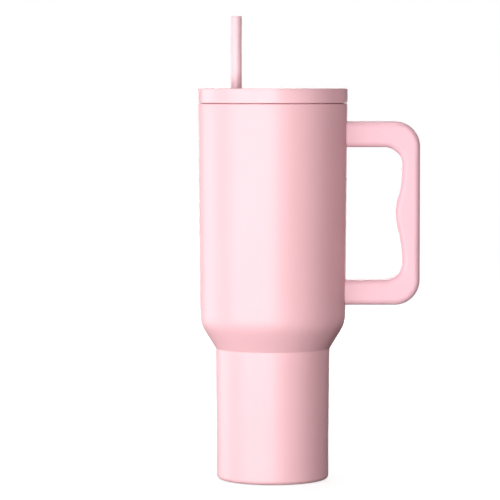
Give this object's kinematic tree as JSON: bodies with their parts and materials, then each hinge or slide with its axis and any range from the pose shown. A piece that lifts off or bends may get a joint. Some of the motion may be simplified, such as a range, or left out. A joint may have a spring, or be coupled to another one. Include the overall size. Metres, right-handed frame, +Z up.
{
  "type": "insulated tumbler with lid",
  "caption": "Tall vacuum-insulated steel tumbler with a narrow cup-holder base, a side handle, a flat press-in lid and a drinking straw.",
  "frame": {"origin": "centre of the foot pad's underside, on the vessel's axis", "axes": "+Z up along the vessel's axis, +X towards the handle, +Y completes a right-handed frame; the straw stands at -X"},
  "size_m": [0.1482, 0.1004, 0.3099],
  "materials": {
    "powder_coat": "matte powder coat",
    "steel": "brushed",
    "seal_glass": "fused bead",
    "getter_metal": "pressed powder",
    "silicone": "soft matte",
    "handle_plastic": "satin",
    "lid_plastic": "satin",
    "straw_plastic": "semi-gloss"
  },
  "bodies": {
    "tumbler": {"shell_upper": "powder_coat", "shell_lower": "powder_coat", "liner_upper": "steel", "liner_lower": "steel", "vacuum_base": "steel", "vacuum_seal": "seal_glass", "getter": "getter_metal", "base_cover": "steel", "foot_pad": "silicone", "handle_half_front": "handle_plastic", "handle_half_rear": "handle_plastic", "handle_strap": "steel", "handle_bracket_upper": "steel", "handle_bracket_lower": "steel", "handle_screws": "steel", "screw_plugs": "handle_plastic"},
    "seal_ring": {"lid_seal": "silicone"},
    "lid": {"lid_cover": "lid_plastic", "lid_plug": "lid_plastic", "straw_valve": "silicone"},
    "straw_tube": {"straw": "straw_plastic"}
  },
  "joints": [
    {"name": "lid_lift", "type": "slide", "parent": "tumbler", "child": "seal_ring", "axis": [0, 0, 1], "range_m": [0, 0.25]},
    {"name": "lid_turn", "type": "hinge", "parent": "seal_ring", "child": "lid", "pos_m": [0, 0, 0.2524], "axis": [0, 0, 1], "continuous": true},
    {"name": "straw_slide", "type": "slide", "parent": "lid", "child": "straw_tube", "axis": [0, 0, 1], "range_m": [0, 0.256]}
  ]
}
